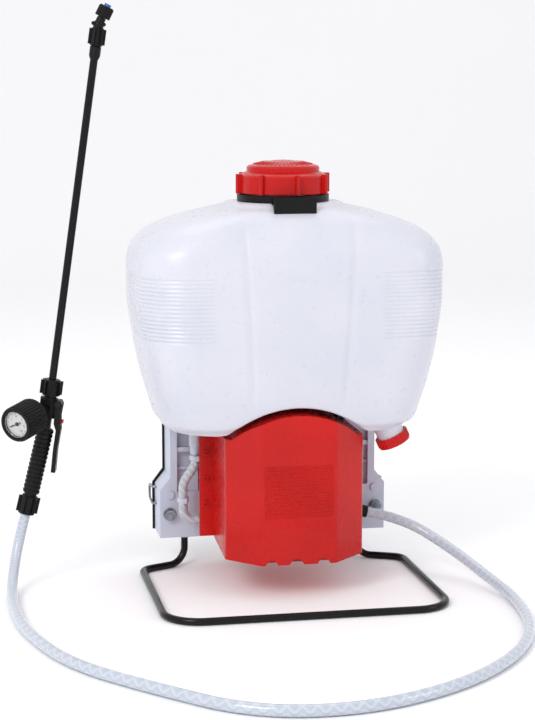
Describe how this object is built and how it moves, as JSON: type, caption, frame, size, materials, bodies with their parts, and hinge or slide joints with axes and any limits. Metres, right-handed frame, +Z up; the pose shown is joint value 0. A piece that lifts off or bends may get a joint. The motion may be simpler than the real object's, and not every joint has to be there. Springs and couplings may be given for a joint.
{
  "type": "backpack sprayer",
  "caption": "Battery backpack sprayer: moulded tank with screw cap, pump housing, carrying frame with stand loop, hose and spray lance with trigger valve and gauge.",
  "frame": {"origin": "on the floor under the middle of the tank, in the plane the stand loop rests on", "axes": "+Z up, -Y the face away from the wearer (pump housing and stand loop), +Y the wearer's side, +X the outlet hose side"},
  "size_m": [0.612, 0.6781, 0.7206],
  "materials": {
    "battery_case": "satin",
    "black_plastic": "satin",
    "black_steel": "satin powder coat",
    "blue_plastic": "glossy",
    "brass": "turned",
    "clear_hose": "clear braided PVC",
    "dial": "printed face",
    "foam": "foam with fabric cover",
    "lens": "clear",
    "motor_steel": "satin",
    "needle": "matte",
    "red_plastic": "glossy",
    "rubber": "matte",
    "tank_plastic": "translucent white polyethylene",
    "webbing": "woven",
    "white_plastic": "satin",
    "wire": "satin",
    "zinc_steel": "zinc plated"
  },
  "bodies": {
    "frame": {"back_pad": "foam", "back_plate": "black_plastic", "battery": "battery_case", "battery_terminals": "brass", "bracket_bolts": "zinc_steel", "charge_socket": "black_plastic", "delivery_hose": "clear_hose", "front_housing": "red_plastic", "gauge_boot": "rubber", "gauge_case": "black_plastic", "gauge_dial": "dial", "gauge_lens": "lens", "gauge_stem": "black_plastic", "handle_grip": "rubber", "handle_tube": "black_plastic", "hose_clips": "white_plastic", "hose_nut": "black_plastic", "housing_screws": "zinc_steel", "lance_nut": "black_plastic", "left_bracket": "white_plastic", "left_shoulder_strap": "webbing", "lever_pin": "black_steel", "neck_collar": "black_plastic", "outlet_gland": "black_plastic", "pressure_hose": "clear_hose", "pressure_switch": "black_plastic", "pump_head": "black_plastic", "pump_inlet_elbow": "white_plastic", "pump_motor": "motor_steel", "rear_housing": "red_plastic", "right_bracket": "white_plastic", "right_shoulder_strap": "webbing", "stand_rod": "black_steel", "strainer_basket": "white_plastic", "strap_buckles": "black_plastic", "strap_hooks": "zinc_steel", "suction_hose": "clear_hose", "switch_frame": "black_plastic", "tank": "tank_plastic", "tank_outlet_fitting": "white_plastic", "valve_body": "black_plastic", "valve_spring": "zinc_steel", "wiring_harness": "wire"},
    "cap_ring": {"cap_gasket": "rubber"},
    "cap": {"filler_cap": "red_plastic", "cap_vent": "rubber"},
    "drain_ring": {"drain_gasket": "rubber"},
    "drain_closure": {"drain_cap": "red_plastic"},
    "rotor": {"motor_rotor": "motor_steel"},
    "switch_rocker": {"power_switch": "black_plastic"},
    "lever": {"trigger_lever": "black_plastic"},
    "lever_catch": {"trigger_lock": "red_plastic"},
    "stem": {"valve_stem": "zinc_steel"},
    "needle": {"gauge_needle": "needle"},
    "lance": {"lance_tube": "black_plastic", "lance_ferrule": "black_plastic", "nozzle_nut": "black_plastic", "nozzle_elbow": "black_plastic"},
    "nozzle": {"nozzle_cap": "black_plastic", "nozzle_insert": "blue_plastic"}
  },
  "joints": [
    {"name": "cap_lift", "type": "slide", "parent": "frame", "child": "cap_ring", "axis": [0, 0, 1], "range_m": [0, 0.022]},
    {"name": "cap_turn", "type": "hinge", "parent": "cap_ring", "child": "cap", "pos_m": [0, 0, 0.5], "axis": [0, 0, 1], "range_deg": [0, 720]},
    {"name": "drain_lift", "type": "slide", "parent": "frame", "child": "drain_ring", "axis": [0.4226, 0, -0.9063], "range_m": [0, 0.016]},
    {"name": "drain_turn", "type": "hinge", "parent": "drain_ring", "child": "drain_closure", "pos_m": [0.12737, -0.06, 0.18919], "axis": [0.4226, 0, -0.9063], "range_deg": [0, 720]},
    {"name": "rotor_spin", "type": "hinge", "parent": "frame", "child": "rotor", "pos_m": [0, 0.058, 0.11], "axis": [1, 0, 0], "continuous": true},
    {"name": "switch_rock", "type": "hinge", "parent": "frame", "child": "switch_rocker", "pos_m": [0.0798, -0.042, 0.105], "axis": [0, 1, 0], "range_deg": [0, 14]},
    {"name": "trigger_squeeze", "type": "hinge", "parent": "frame", "child": "lever", "pos_m": [-0.27971, 0.01362, 0.23337], "axis": [0.1908, 0.9816, 0], "range_deg": [0, 5], "stiffness_Nm_per_rad": 4, "springref_deg": -8.59},
    {"name": "stem_push", "type": "slide", "parent": "frame", "child": "stem", "axis": [-0.9713, 0.1888, 0.1444], "range_m": [0, 0.00148]},
    {"name": "lock_tip", "type": "hinge", "parent": "lever", "child": "lever_catch", "pos_m": [-0.28143, 0.01395, 0.20887], "axis": [0.1908, 0.9816, 0], "range_deg": [0, 15]},
    {"name": "needle_turn", "type": "hinge", "parent": "frame", "child": "needle", "pos_m": [-0.3333, -0.0313, 0.2179], "axis": [-0.6491, -0.7384, -0.1828], "range_deg": [-270, 0]},
    {"name": "lance_turn", "type": "hinge", "parent": "frame", "child": "lance", "pos_m": [-0.2863, 0.0149, 0.2677], "axis": [0.1417, -0.0275, 0.9895], "range_deg": [-180, 180]},
    {"name": "nozzle_turn", "type": "hinge", "parent": "lance", "child": "nozzle", "pos_m": [-0.22508, 0.003, 0.69517], "axis": [0.4441, -0.0863, 0.8918], "range_deg": [0, 270]}
  ],
  "couplings": [
    {"joint": "cap_lift", "follows": "cap_turn", "m_per_rad": 0.0017507},
    {"joint": "drain_lift", "follows": "drain_turn", "m_per_rad": 0.0012732},
    {"joint": "stem_push", "follows": "trigger_squeeze", "m_per_rad": 0.017}
  ]
}
